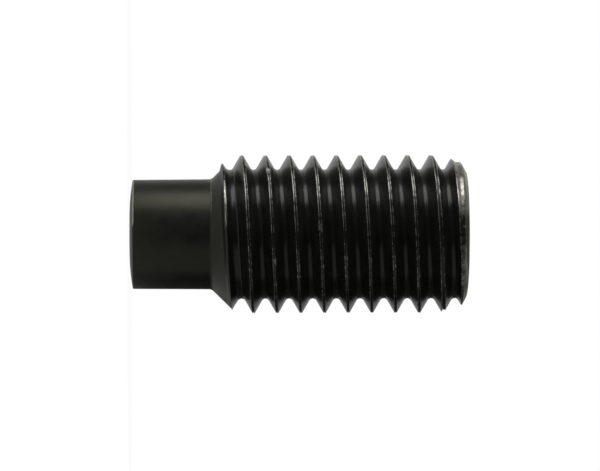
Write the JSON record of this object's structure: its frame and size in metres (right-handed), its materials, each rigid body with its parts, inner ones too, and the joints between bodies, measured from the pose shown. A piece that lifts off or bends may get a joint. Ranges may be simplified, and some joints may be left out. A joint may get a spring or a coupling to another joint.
{
  "type": "dog point set screw",
  "caption": "Headless set screw with a rolled metric thread, a long dog point and a hexagon socket in the other end.",
  "frame": {"origin": "centre of the flat end of the dog point, on the surface the screw stands on", "axes": "+Z along the screw's axis from the dog point to the socket end; -X is the side that faces up in the picture"},
  "size_m": [0.0118, 0.0118, 0.025],
  "materials": {
    "black_steel": "black oxide on alloy steel, lightly oiled, worn bright on the thread crests"
  },
  "bodies": {
    "root": {"set_screw": "black_steel"}
  },
  "joints": []
}
